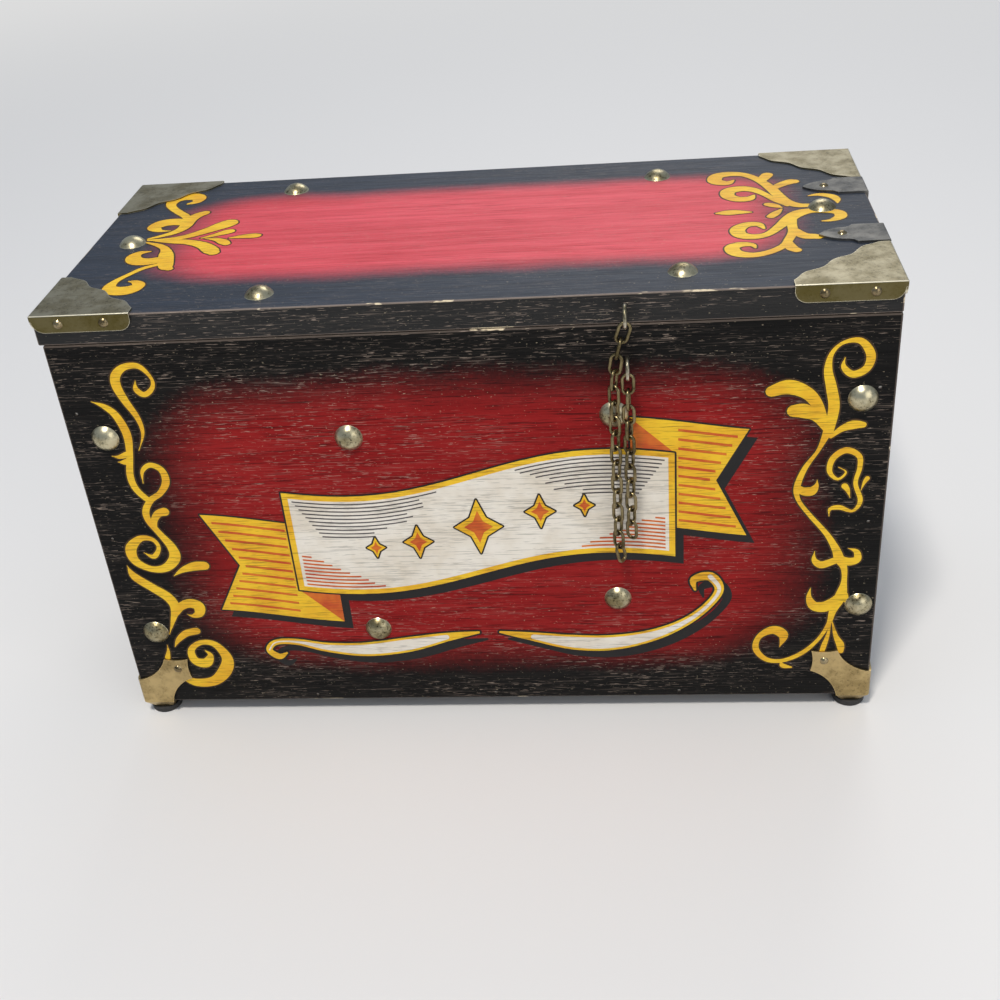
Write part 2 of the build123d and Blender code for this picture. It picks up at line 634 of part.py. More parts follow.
dying_lean = [STRAND_LEAN * (1 - step / STRAND_LEAN_LINKS) for step in range(STRAND_LEAN_LINKS)]
straight_links = LID_STRAND_LINKS - STRAND_LEAN_LINKS - 1
strand("chain_lid_strand", lid_eye_x, lid_eye_z, dying_lean + [0] * straight_links + [LAST_LINK_LEAN])
strand("chain_body_strand", body_eye_x, body_eye_z, [0] * BODY_STRAND_LINKS)
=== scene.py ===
import bpy
import json
import math
import random
from mathutils import Matrix, Vector
from mathutils.geometry import convex_hull_2d, delaunay_2d_cdt


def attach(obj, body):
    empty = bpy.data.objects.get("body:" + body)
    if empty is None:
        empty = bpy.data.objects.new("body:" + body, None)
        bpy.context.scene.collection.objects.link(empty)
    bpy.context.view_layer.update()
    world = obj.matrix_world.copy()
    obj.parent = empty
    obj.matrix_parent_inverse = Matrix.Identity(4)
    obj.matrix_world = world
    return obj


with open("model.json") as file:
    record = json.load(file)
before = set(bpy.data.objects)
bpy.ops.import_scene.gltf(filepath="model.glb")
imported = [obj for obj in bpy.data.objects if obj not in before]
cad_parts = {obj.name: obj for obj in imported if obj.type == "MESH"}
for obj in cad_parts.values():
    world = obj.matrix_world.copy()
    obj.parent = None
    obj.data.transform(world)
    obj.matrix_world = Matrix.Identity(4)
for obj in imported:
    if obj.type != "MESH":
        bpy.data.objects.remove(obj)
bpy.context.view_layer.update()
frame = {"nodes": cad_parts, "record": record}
nodes = frame["nodes"]
random.seed(11)

MM = 0.001
BODY_BACK = 5.3                 # the body's middle lies this far behind the part's origin
FACE_Y = BODY_BACK - 76.2       # the front board's outer face
LID_TOP = 210.9

# Colours are linear RGB.
BLACK = (0.0034, 0.0031, 0.0028)
# a blue-black standing for a painted reflection of the sky on the lid's level face
SKY_REFLECTION_BLACK = (0.012, 0.018, 0.031)
RED = (0.225, 0.0060, 0.0062)
# the front's red made lighter and pinker, a painted glare of the sky on the level lid
LID_RED_WITH_SKY_GLARE = (0.53, 0.036, 0.052)
BARE = (0.66, 0.55, 0.38)
# pale dust in the grain and scratches, and a painted sheen along the arrises
DUST_AND_EDGE_SHEEN = (0.40, 0.31, 0.25)
OLIVE = (0.22, 0.19, 0.11)
SMOKE = (0.035, 0.026, 0.014)
# painted shade for the upright legs of a folded brass plate, and a painted highlight for its fold
FLANGE_SHADE_BRASS = (0.095, 0.073, 0.012)
FOLD_HIGHLIGHT = (0.78, 0.72, 0.55)
BACKDROP = (0.72, 0.72, 0.72)
SKYLIGHT = (0.72, 0.83, 1.0)
LAMPLIGHT = (1.0, 0.955, 0.89)

FIGURE_SPAN = (0.35, 0.75)      # where the broad figure of the grain starts, and where it is full
PORE_SPAN = (0.46, 0.37)        # the same for the fine pores, which are the noise's low places
ARRIS_SPAN = (0.995, 0.95)      # the largest part of the normal, on a flat and on a rounded edge
WEAR_RADIUS = 0.0006            # how far brass is worn bright beside an edge
WEAR_SPAN = (0.02, 0.25)
SKIN = (4.0, 2.0)               # mm behind a board's face where its red field ends, and is still full

# The red fields in metres: middle and half sizes of the panel, radii of its oval corners, and
# the sprayed edge as a share of those radii.
FRONT_FIELD = ((0.0025, 0.103), (0.1275, 0.068), (0.047, 0.029), 0.46)
LID_FIELD = ((-0.001, BODY_BACK * MM + 0.002), (0.130, 0.0465), (0.034, 0.020), 0.5)
WOBBLE = 0.4                    # how unevenly a field's edge runs, as a share of its radii
SPECKLE = 0.24                  # and how coarse its spray is


# ------------------------------------------------------------------ node trees
class Look:
    """A material and short ways to build its node tree."""

    def __init__(self, name, roughness=0.5, metallic=0.0, specular=0.5):
        self.material = bpy.data.materials.new(name)
        self.material.use_nodes = True
        self.tree = self.material.node_tree
        self.shader = self.tree.nodes["Principled BSDF"]
        self.shader.inputs["Roughness"].default_value = roughness
        self.shader.inputs["Metallic"].default_value = metallic
        self.shader.inputs["Specular IOR Level"].default_value = specular
        self.coords = self.tree.nodes.new("ShaderNodeTexCoord").outputs
        self.place = self.coords["Object"]

    def put(self, value, socket):
        """Link a socket to this input, or set the input to a constant."""
        if isinstance(value, bpy.types.NodeSocket):
            self.tree.links.new(value, socket)
        elif isinstance(value, tuple) and len(value) == 3 and len(socket.default_value) == 4:
            socket.default_value = (*value, 1.0)
        else:
            socket.default_value = value

    def set(self, name, value):
        self.put(value, self.shader.inputs[name])

    def math(self, operation, a, b=0.0):
        node = self.tree.nodes.new("ShaderNodeMath")
        node.operation = operation
        self.put(a, node.inputs[0])
        self.put(b, node.inputs[1])
        return node.outputs[0]

    def times(self, value, *factors):
        for factor in factors:
            value = self.math("MULTIPLY", value, factor)
        return value

    def axes(self, vector=None):
        """The three parts of a vector, or of the place on the piece."""
        node = self.tree.nodes.new("ShaderNodeSeparateXYZ")
        self.put(self.place if vector is None else vector, node.inputs[0])
        return node.outputs[0], node.outputs[1], node.outputs[2]

    def turn_grain(self):
        """Run the grain along Y instead of X from here on."""
        x, y, z = self.axes()
        node = self.tree.nodes.new("ShaderNodeCombineXYZ")
        for value, socket in zip((y, x, z), node.inputs):
            self.put(value, socket)
        self.place = node.outputs[0]

    def noise(self, cells, detail=3.0, rough=0.55, shift=(0.0, 0.0, 0.0), warp=0.0):
        """Noise with this many cells per metre along each axis."""
        mapping = self.tree.nodes.new("ShaderNodeMapping")
        self.put(self.place, mapping.inputs["Vector"])
        mapping.inputs["Scale"].default_value = cells
        mapping.inputs["Location"].default_value = shift
        node = self.tree.nodes.new("ShaderNodeTexNoise")
        node.inputs["Scale"].default_value = 1.0
        node.inputs["Detail"].default_value = detail
        node.inputs["Roughness"].default_value = rough
        node.inputs["Distortion"].default_value = warp
        self.put(mapping.outputs[0], node.inputs["Vector"])
        return node.outputs["Fac"]

    def even_noise(self, cells, detail=3.0, rough=0.55, shift=(0.0, 0.0, 0.0)):
        """Noise with as many cells along every axis."""
        return self.noise((cells, cells, cells), detail, rough, shift)

    def span(self, value, low, high, start=0.0, end=1.0):
        """A soft step from start at low to end at high; low may be the larger."""
        node = self.tree.nodes.new("ShaderNodeMapRange")
        node.interpolation_type = "SMOOTHSTEP"
        self.put(value, node.inputs["Value"])
        self.put(low, node.inputs["From Min"])
        self.put(high, node.inputs["From Max"])
        node.inputs["To Min"].default_value = start
        node.inputs["To Max"].default_value = end
        return node.outputs[0]

    def mix(self, share, a, b):
        node = self.tree.nodes.new("ShaderNodeMix")
        node.data_type = "RGBA"
        self.put(share, node.inputs[0])
        self.put(a, node.inputs[6])
        self.put(b, node.inputs[7])
        return node.outputs[2]

    def cover(self, base, colour, *shares):
        """Lay a colour over the base, where all the shares are 1 when multiplied."""
        return self.mix(self.times(*shares), base, colour)

    def bump(self, height, strength, distance):
        node = self.tree.nodes.new("ShaderNodeBump")
        node.inputs["Strength"].default_value = strength
        node.inputs["Distance"].default_value = distance
        self.put(height, node.inputs["Height"])
        self.set("Normal", node.outputs[0])

    def facing(self):
        """How far the surface faces up or down in the piece's own frame: 1 level, 0 upright."""
        return self.math("ABSOLUTE", self.axes(self.coords["Normal"])[2])

    def arris(self):
        """1 on the rounded edges of a board, 0 on its six flats."""
        x, y, z = (self.math("ABSOLUTE", part) for part in self.axes(self.coords["Normal"]))
        largest = self.math("MAXIMUM", self.math("MAXIMUM", x, y), z)
        return self.span(largest, *ARRIS_SPAN)

    def edge(self):
        """1 on the outer edges of a piece, 0 on its flats."""
        bevel = self.tree.nodes.new("ShaderNodeBevel")
        bevel.samples = 6
        bevel.inputs["Radius"].default_value = WEAR_RADIUS
        geometry = self.tree.nodes.new("ShaderNodeNewGeometry")
        dot = self.tree.nodes.new("ShaderNodeVectorMath")
        dot.operation = "DOT_PRODUCT"
        self.put(bevel.outputs[0], dot.inputs[0])
        self.put(geometry.outputs["Normal"], dot.inputs[1])
        return self.span(self.math("SUBTRACT", 1.0, dot.outputs["Value"]), *WEAR_SPAN)


def scaled(colour, *factors):
    """A colour times one factor, or times one for each channel."""
    if len(factors) == 1:
        factors *= 3
    return tuple(channel * factor for channel, factor in zip(colour, factors))


def for_camera(tree, share, lit, shown, output):
    """Show the camera one shader by this share, and light the scene with the other."""
    blend = tree.nodes.new("ShaderNodeMixShader")
    for value, socket in zip((share, lit, shown), blend.inputs):
        tree.links.new(value, socket)
    tree.links.new(blend.outputs[0], output)


# ------------------------------------------------------------------ wood and paint
def grain(look):
    """Open grain along X: (fine pores, broad figure), both 0 to 1."""
    pores = look.noise((55.0, 1900.0, 1900.0), rough=0.65)
    figure = look.noise((9.0, 230.0, 230.0), 4.0, 0.6, (3.1, 0.4, 0.2), warp=0.5)
    return pores, figure


def grain_bump(look, pores, figure, strength, distance):
    look.bump(look.math("ADD", pores, look.times(figure, 0.5)), strength, distance)


def soft_panel(look, across, along, middle, half, radii, blur):
    """1 inside a panel with oval corners, fading over its sprayed edge."""
    wobble = look.even_noise(22.0, 2.0, 0.5, (1.0, 7.0, 2.0))
    speckle = look.even_noise(700.0, 2.0, 0.6)
    drift = look.times(look.math("SUBTRACT", wobble, 0.5), WOBBLE)
    drift = look.math("ADD", drift, look.times(look.math("SUBTRACT", speckle, 0.5), SPECKLE))
    corner = []
    for place, centre, reach, radius in zip((across, along), middle, half, radii):
        away = look.math("ABSOLUTE", look.math("SUBTRACT", place, centre))
        away = look.math("MAXIMUM", look.math("SUBTRACT", away, reach - radius), 0.0)
        away = look.math("DIVIDE", away, radius)
        corner.append(look.times(away, away))
    away = look.math("ADD", look.math("SQRT", look.math("ADD", *corner)), drift)
    return look.span(away, 1.0 + blur, 1.0 - blur)


def front_red(look):
    """The red field on the outside of the front, not on its inside."""
    x, y, z = look.axes()
    outside = look.span(y, *((FACE_Y + depth) * MM for depth in SKIN))
    return look.times(soft_panel(look, x, z, *FRONT_FIELD), outside)


def upper_face(look):
    """1 on the lid's upper face, 0 on its underside."""
    return look.span(look.axes()[2], *((LID_TOP - depth) * MM for depth in SKIN))


def lid_red(look):
    """The red field on the lid's upper face."""
    x, y = look.axes()[:2]
    return look.times(soft_panel(look, x, y, *LID_FIELD), upper_face(look))


def painted(name, red=RED, red_mask=None, sky_reflection=None, specular=0.12, chips=1.0, across=False):
    """Paint over open-grained wood, rubbed through on the pores and edges.

    the black given for the level face is a blue-black painted reflection of the sky, chips says how much
    the edges are chipped, and across turns the grain.
    """
    look = Look(name, specular=specular)
    if across:
        look.turn_grain()
    pores, figure = grain(look)
    broad = look.span(figure, *FIGURE_SPAN)
    base = look.mix(broad, BLACK, scaled(BLACK, 2.2))
    worn = 1.0
    # the level upper face takes a blue-black, a painted reflection of the sky
    if sky_reflection:
        level = look.times(look.span(look.facing(), 0.6, 0.9), upper_face(look))
        base = look.mix(level, base, look.mix(broad, sky_reflection, scaled(sky_reflection, 1.5)))
        worn = look.math("SUBTRACT", 1.0, look.times(level, 0.6))
    if red_mask:
        cloud = look.noise((10.0, 26.0, 26.0), 3.0, 0.6, (7.0, 3.0, 1.0))
        tone = look.math("ADD", look.times(figure, 0.6), look.times(cloud, 0.4))
        streaked = look.mix(look.span(tone, 0.36, 0.66), red, scaled(red, 1.3, 2.0, 1.9))
        base = look.mix(red_mask(look), base, streaked)
    # dark open pores, then long pale lines of dust and short pale scratches
    base = look.cover(base, scaled(BLACK, 0.35), look.span(pores, *PORE_SPAN), 0.62, worn)
    rubbed = look.span(look.noise((11.0, 60.0, 60.0), 3.0, 0.6, (5.0, 2.0, 9.0)), 0.36, 0.60)
    rubbed = look.times(rubbed, worn)
    lines = look.span(look.noise((45.0, 3000.0, 3000.0), 3.0, 0.6, (4.0, 3.0, 8.0)), 0.58, 0.70)
    base = look.cover(base, DUST_AND_EDGE_SHEEN, lines, rubbed, 0.30)
    scratches = look.span(look.noise((190.0, 2900.0, 2900.0), 2.0, 0.5, (8.0, 1.0, 4.0)), 0.64, 0.69)
    base = look.cover(base, DUST_AND_EDGE_SHEEN, scratches, rubbed, 0.62)
    flecks = look.span(look.noise((700.0, 1900.0, 1900.0), 2.0, 0.5, (2.0, 9.0, 3.0)), 0.71, 0.75)
    base = look.cover(base, BARE, flecks, 0.4)
    # the arrises carry a thin pale line, partly paint rubbed thin and partly a painted highlight, and are
    # chipped to the bare wood in places
    arris = look.arris()
    base = look.cover(base, DUST_AND_EDGE_SHEEN, arris, 0.18 * chips)
    torn = look.noise((30.0, 70.0, 70.0), 4.0, 0.7, (2.0, 6.0, 3.0))
    chipped = look.span(torn, 0.65 - 0.04 * chips, 0.68 - 0.04 * chips)
    base = look.cover(base, BARE, arris, chipped)
    look.set("Base Color", base)
    look.set("Roughness", look.span(pores, 0.3, 0.7, start=0.6, end=0.42))
    grain_bump(look, pores, figure, 0.45, 0.0004)
    return look.material


def bare_wood(name):
    look = Look(name, 0.7)
    pores, figure = grain(look)
    base = look.mix(look.span(figure, 0.3, 0.75), (0.46, 0.31, 0.17), (0.62, 0.45, 0.27))
    base = look.cover(base, (0.24, 0.14, 0.07), look.span(pores, 0.45, 0.33), 0.6)
    look.set("Base Color", base)
    look.bump(pores, 0.3, 0.0003)
    return look.material


def enamel(name, colour, deep, grain_show):
    """Sign-painter's enamel, thin over the grain."""
    look = Look(name, 0.45, specular=0.3)
    pores, figure = grain(look)
    cloud = look.even_noise(60.0, 3.0, 0.6, (4.0, 4.0, 1.0))
    base = look.mix(look.span(cloud, 0.35, 0.7), colour, deep)
    base = look.cover(base, deep, look.span(figure, 0.5, 0.75), 0.35)
    gaps = look.span(look.noise((120.0, 2000.0, 2000.0), 2.0, 0.5, (6.0, 2.0, 5.0)), 0.37, 0.30)
    dark = look.math("MAXIMUM", look.span(pores, *PORE_SPAN), gaps)
    look.set("Base Color", look.cover(base, scaled(deep, 0.22), dark, grain_show))
    grain_bump(look, pores, figure, 0.25, 0.0003)
    return look.material


# ------------------------------------------------------------------ metal and rubber
def aged_brass(name, clean, patina, dirty, roughness=0.34, upright=1.0):
    """Brass dulled by handling: patches of patina, dark dirt, bright worn edges, and a painted highlight
    on the folds.

    upright says how much of its colour a folded plate keeps on the legs that stand up; the rest is
    painted shade.
    """
    look = Look(name, metallic=1.0)
    cloud = look.even_noise(90.0, 5.0, 0.6)
    speck = look.even_noise(900.0, 3.0, 0.7, (3.0, 3.0, 3.0))
    base = look.mix(look.span(cloud, 0.35, 0.68), clean, patina)
    spots = look.times(look.span(speck, 0.52, 0.64), look.span(cloud, 0.3, 0.6))
    base = look.cover(base, SMOKE, spots, dirty)
    worn = look.edge()
    bright = scaled(clean, 1.3)
    if upright < 1.0:
        # the upright legs are darkened with painted shade, and the fold gets a painted highlight
        level = look.facing()
        base = look.cover(base, FLANGE_SHADE_BRASS, look.span(level, 0.6, 0.3), 1.0 - upright)
        painted_fold_highlight = look.times(look.span(level, 0.15, 0.5), look.span(level, 0.99, 0.93))
        worn = look.math("MAXIMUM", worn, painted_fold_highlight)
        bright = FOLD_HIGHLIGHT
    look.set("Base Color", look.mix(worn, base, bright))
    rough = look.math("ADD", roughness - 0.08, look.times(cloud, 0.22))
    look.set("Roughness", look.math("SUBTRACT", rough, look.times(worn, 0.1)))
    look.bump(look.math("ADD", cloud, look.times(speck, 0.12)), 0.3, 0.0008)
    return look.material


def speckled(name, dark, light, cells, roughness, metallic, strength):
    """Two tones in fine noise, with a matching bump."""
    look = Look(name, roughness, metallic)
    fine_noise = look.even_noise(cells)
    look.set("Base Color", look.mix(fine_noise, dark, light))
    look.bump(fine_noise, strength, 0.0002)
    return look.material


def steel(name):
    return speckled(name, (0.30, 0.27, 0.23), (0.55, 0.53, 0.50), 400.0, 0.4, 1.0, 0.15)


def rubber(name):
    return speckled(name, (0.012, 0.012, 0.012), (0.04, 0.038, 0.036), 700.0, 0.75, 0.0, 0.2)


# Clean colour, patina, share of dirt, roughness, and what the upright legs keep of their colour under
# painted shade.
BRASSES = {
    "cap_brass": ((0.40, 0.36, 0.25), OLIVE, 0.5, 0.42, 0.2),
    "hinge_brass": ((0.21, 0.205, 0.19), (0.085, 0.088, 0.09), 0.45, 0.46),
    "foot_brass": ((0.56, 0.42, 0.20), (0.34, 0.25, 0.11), 0.35),
    "stud_brass": ((0.60, 0.54, 0.36), (0.22, 0.18, 0.09), 0.9, 0.30),
    "nail_brass": ((0.36, 0.29, 0.17), (0.16, 0.12, 0.06), 0.7, 0.26),
    "eye_brass": ((0.66, 0.62, 0.52), OLIVE, 0.4, 0.28),
    "chain_brass": ((0.26, 0.21, 0.11), (0.10, 0.078, 0.036), 0.6, 0.28),
}
finishes = {
    "front_paint": painted("front_paint", red_mask=front_red),
    "body_paint": painted("body_paint"),
    "end_paint": painted("end_paint", across=True),
    # the lid's red and its level black are copies lightened by painted sky reflection
    "lid_paint": painted("lid_paint", LID_RED_WITH_SKY_GLARE, lid_red, SKY_REFLECTION_BLACK, 0.4, 2.0),
    "bottom_wood": bare_wood("bottom_wood"),
    "brad_steel": steel("brad_steel"),
    "pin_steel": steel("pin_steel"),
    "pad_rubber": rubber("pad_rubber"),
}
for name, tones in BRASSES.items():
    finishes[name] = aged_brass(name, *tones)
slot_of = {row["node"]: row["material_slot"] for row in frame["record"]["subparts"]}
slot_of["left_end_panel"] = "end_paint"
slot_of["right_end_panel"] = "end_paint"
for node, piece in nodes.items():
    piece.data.materials.clear()
    piece.data.materials.append(finishes[slot_of[node]])

yellow = enamel("paint_yellow", (0.84, 0.53, 0.020), (0.74, 0.38, 0.012), 0.6)
umber = enamel("paint_umber", (0.055, 0.026, 0.005), (0.032, 0.015, 0.004), 0.3)
white = enamel("paint_white", (0.80, 0.75, 0.66), (0.70, 0.63, 0.52), 0.45)
orange = enamel("paint_orange", (0.66, 0.17, 0.015), (0.50, 0.06, 0.012), 0.4)
ink = enamel("paint_ink", (0.010, 0.009, 0.009), (0.007, 0.006, 0.006), 0.2)
grey = enamel("paint_grey", (0.085, 0.075, 0.075), (0.06, 0.05, 0.05), 0.2)

# ------------------------------------------------------------------ painted scrollwork
# Brush strokes on the front: (across, up, width) in millimetres.
FRONT_STROKES = {
    "left_curl": [
        (-135.5, 181, 0.5), (-136, 177, 3), (-133, 174.5, 3), (-129, 177.5, 2.5), (-128.5, 182, 2),
        (-132.5, 187.5, 3), (-138.5, 187.5, 3.5), (-143, 184, 4.5), (-144, 179, 4.7), (-142, 172, 4),
        (-138.5, 163.5, 3), (-138, 156, 2), (-141.5, 148, 0.4),
    ],
    "left_stem": [
        (-156.5, 172, 0.4), (-151.5, 169.5, 3), (-147.5, 165, 4), (-145, 156, 4.3), (-146, 146.5, 3.5),
        (-148.3, 136, 3.7), (-147.5, 129, 3.6), (-144, 123.7, 3.4), (-142, 122.5, 2.4),
    ],
    "left_mid_curl": [
        (-143.5, 131.5, 0.5), (-142.5, 137.5, 2.3), (-138.5, 140.5, 3), (-134, 138, 3.5),
        (-133.3, 132, 4), (-137, 126.3, 3.3), (-142, 122.8, 3.4), (-145.5, 117.5, 3.7),
        (-145.5, 112, 3.6), (-142, 105, 3.6), (-138.3, 98, 4.8), (-138, 92, 5.7), (-143, 86.7, 4.8),
        (-150, 86, 3.8), (-156.5, 90.5, 4.8), (-157, 97.5, 5.6), (-151.5, 102.7, 3.7), (-146, 102, 2.7),
        (-144.2, 97.5, 2.4), (-147.5, 92.8, 3), (-151.5, 95, 0.5),
    ],
    "left_slip": [
        (-161, 88, 0.4), (-159, 82, 4.5), (-152, 75.5, 5), (-146, 70, 5.5), (-144, 64, 5),
        (-147, 55.5, 2.5), (-150, 48.5, 0.5),
    ],
    "left_big_curl": [
        (-149.5, 23, 3.3), (-143, 19, 5.2), (-134, 20, 5.9), (-127.5, 26.5, 7), (-125.3, 34, 5.8),
        (-129.5, 42, 4), (-136, 43.3, 3.3), (-141.5, 39, 3.8), (-141, 32.5, 5), (-136, 31, 5.9),
        (-133, 35.5, 3.3), (-135, 38.5, 0.9),
    ],
    "left_side_leaf_upper": [(-154, 145.5, 0.4), (-151, 145, 2.4), (-147.5, 146, 3.5)],
    "left_side_leaf_lower": [(-152, 142.5, 0.4), (-149.5, 142.3, 3), (-147, 143, 3.5)],
    "left_bud": [(-143.5, 107.5, 2.5), (-143, 112, 3.5), (-140.5, 115.5, 4.2), (-137.3, 116.6, 4.8)],
    "left_leaf_d": [(-140.5, 82, 0.8), (-136, 85, 3.2), (-130, 87, 5.2), (-125.3, 87.2, 5)],
    "left_curl_f": [
        (-144.3, 60.5, 3.4), (-141, 64.5, 4.6), (-136.5, 66.3, 5.5), (-132.7, 64.5, 6),
        (-133.3, 60.5, 5), (-136.5, 59, 2.5), (-139, 60, 0.6),
    ],
    "left_leaf_g": [(-149, 41, 0.8), (-146.5, 45, 3), (-142, 48.8, 4.2), (-136.7, 50.2, 4.4)],
    "left_slip_end": [(-154, 34.5, 3.2), (-152.8, 38.5, 2), (-152.5, 42, 0.5)],
    "right_curl": [
        (150, 180, 0.4), (149.7, 176, 2.7), (153.5, 172.6, 3.6), (158.5, 175, 3.8), (159.7, 181, 4.2),
        (155.5, 187, 3.2), (149, 186.5, 2), (144.8, 182, 2.4), (143.8, 175, 3.8), (145.5, 167, 4.8),
        (147, 158, 5), (145.5, 147, 4.6),
    ],
    "right_stem": [
        (145.5, 148, 4.6), (142, 138.5, 2.2), (137, 130, 2.8), (134.2, 121, 3.3), (135, 114.5, 2.4),
        (140, 106.8, 2.5), (147.5, 97, 2.9), (151.8, 89, 4), (153.5, 84, 4.8), (155.8, 79, 3.4),
        (156.3, 72, 3), (155.3, 64, 5.5), (152.5, 56, 3.9), (151, 48.5, 2.6), (147, 40, 2.3),
        (140.5, 32.5, 2.8), (132, 28, 2.6), (124.5, 28.8, 3), (119.7, 35, 3.4), (121, 42, 3.2),
        (127, 45.7, 5), (131.6, 42.5, 5), (130.2, 36, 0.6),
    ],
    "right_mid_curl": [
        (150.5, 130, 0.4), (153.6, 127.5, 1.4), (150.5, 124.2, 1.8), (147, 128, 2.7), (148, 134.3, 3.2),
        (153, 138, 3.4), (158.3, 135.2, 2.9), (159, 129.5, 2.6), (157.8, 122, 2.4), (160.3, 113.5, 2.6),
        (157.5, 108.4, 1.9), (152, 110.3, 2.8), (148.2, 109.5, 2.1), (148, 106, 0.4),
    ],
    "right_leaf_a": [
        (145, 150, 2), (140.5, 159.5, 5), (136, 165, 6), (129, 167.9, 7), (122.3, 166.2, 5.4),
    ],
    "right_leaf_b": [(144.5, 148, 3), (140.5, 154, 5), (135.5, 156.8, 7), (131.3, 157, 6)],
    "right_leaf_c": [(146.5, 144.5, 2), (150.5, 148, 3.3), (155, 149.8, 4.6), (159, 149.7, 3.2)],
    "right_hook": [
        (135, 120, 3.5), (137.3, 118.6, 4.6), (140.3, 118.8, 4.8), (142, 121.3, 2.6), (142.2, 124, 0.5),
    ],
    "right_bud_a": [(156, 115, 0.6), (154.8, 118.8, 2.5), (153.5, 120.8, 3.3)],
    "right_bud_b": [(160.2, 118.5, 0.6), (161.3, 122.3, 2), (162.4, 124.3, 2.6)],
    "right_barb_left": [
        (143, 88, 0.5), (143, 83.7, 2.8), (145.8, 81, 4.2), (149.5, 82, 4), (153.5, 84, 4),
    ],
    "right_barb_right": [
        (157, 89.3, 0.5), (160.5, 87.5, 3), (161, 83.5, 4), (157.5, 82.3, 4.6), (153.5, 83.8, 4.4),
    ],
    "right_spur": [(155.3, 68, 2), (157, 64, 3.8), (158.6, 58.5, 0.8)],
    "right_big_barb": [
        (142.2, 68.5, 0.8), (141.8, 63.5, 3), (144, 59, 5.2), (148.5, 58.2, 6.2), (152.5, 60.5, 6),
        (155.7, 65, 4),
    ],
    "right_drop": [(131, 27.5, 1), (132, 25, 3), (135.8, 24, 1.4)],
    "right_leaf_d": [(152, 50, 1), (151, 42, 2.2), (149.7, 36.5, 3), (149, 33, 2.8)],
    "right_leaf_e": [(152.5, 50, 1), (154.5, 42, 2.6), (156.8, 36.8, 4), (157.3, 33, 3)],
}
